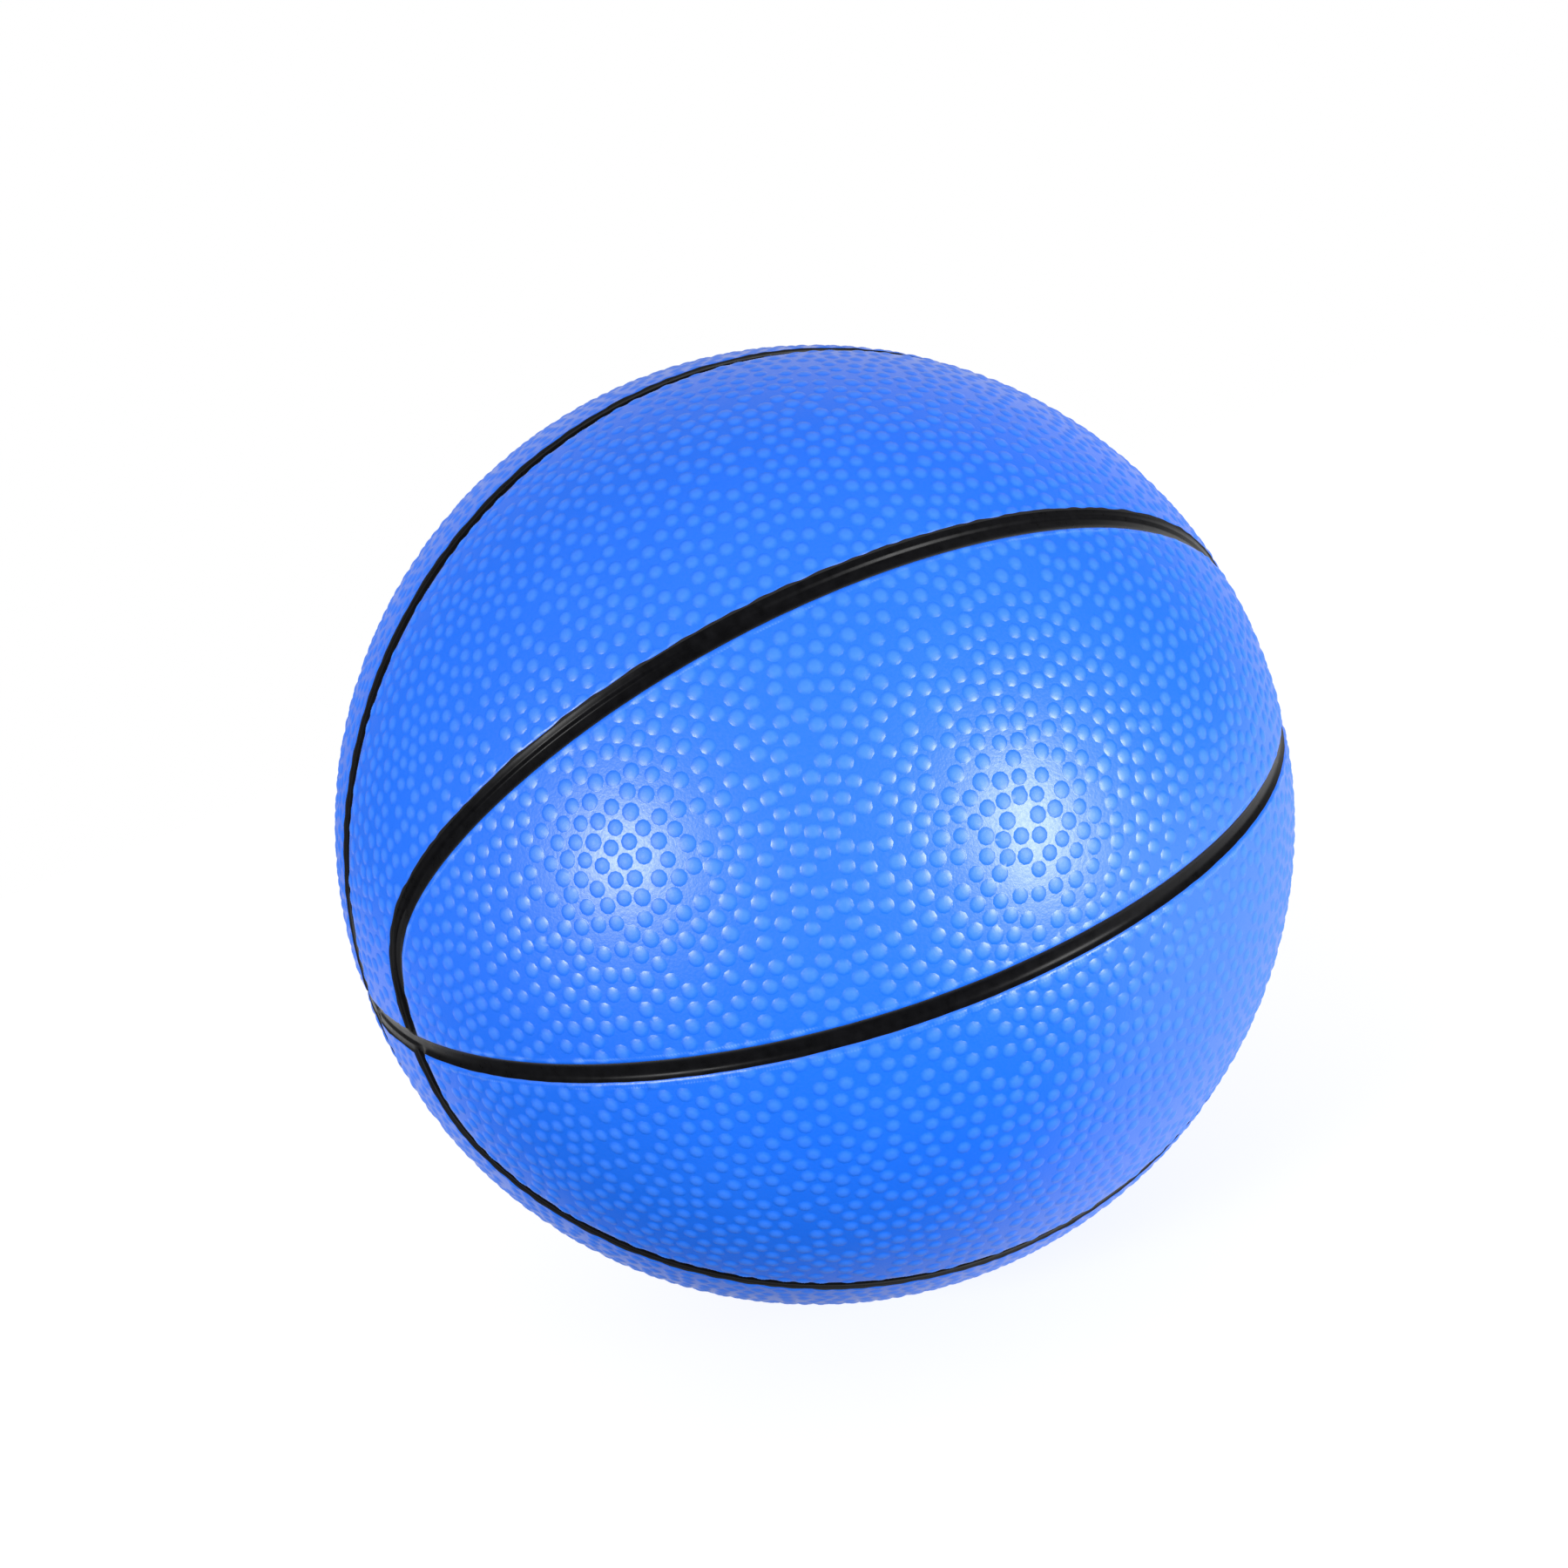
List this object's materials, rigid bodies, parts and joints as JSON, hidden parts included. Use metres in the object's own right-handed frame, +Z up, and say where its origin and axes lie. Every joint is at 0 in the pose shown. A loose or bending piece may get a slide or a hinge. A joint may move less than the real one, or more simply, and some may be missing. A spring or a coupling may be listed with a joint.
{
  "type": "mini basketball",
  "caption": "Small blue basketball with a pebbled rubber cover, sunk black seam channels and a needle valve with a pull-out core.",
  "frame": {"origin": "centre of the ball", "axes": "+Z up, square to the horizontal seam; X through the two poles where the horizontal and vertical seams cross; -Y out of the front, towards the viewer; +Y out of the back, where the valve is"},
  "size_m": [0.15, 0.15, 0.15],
  "materials": {
    "cover_blue": "semi-gloss moulded rubber, pebbled",
    "channel_black": "glossy black, smooth",
    "carcass_rubber": "dull moulded rubber",
    "winding_thread": "wound nylon thread",
    "bladder_rubber": "smooth butyl rubber",
    "valve_rubber": "matt black rubber"
  },
  "bodies": {
    "ball": {"panel_front_upper_face": "cover_blue", "panel_front_lower_face": "cover_blue", "panel_back_upper_face": "cover_blue", "panel_back_lower_face": "cover_blue", "panel_front_upper_crown": "cover_blue", "panel_front_lower_crown": "cover_blue", "panel_back_upper_crown": "cover_blue", "panel_back_lower_crown": "cover_blue", "channel_strip_horizontal": "channel_black", "channel_strip_vertical_upper": "channel_black", "channel_strip_vertical_lower": "channel_black", "channel_strip_front_loop_upper": "channel_black", "channel_strip_front_loop_lower": "channel_black", "channel_strip_back_loop_upper": "channel_black", "channel_strip_back_loop_lower": "channel_black", "carcass": "carcass_rubber", "thread_winding": "winding_thread", "bladder": "bladder_rubber", "valve_housing": "valve_rubber"},
    "valve_core": {"valve_core": "valve_rubber"}
  },
  "joints": [
    {"name": "valve_core_pull", "type": "slide", "parent": "ball", "child": "valve_core", "axis": [0, 0.9239, 0.3827], "range_m": [0, 0.012]}
  ]
}
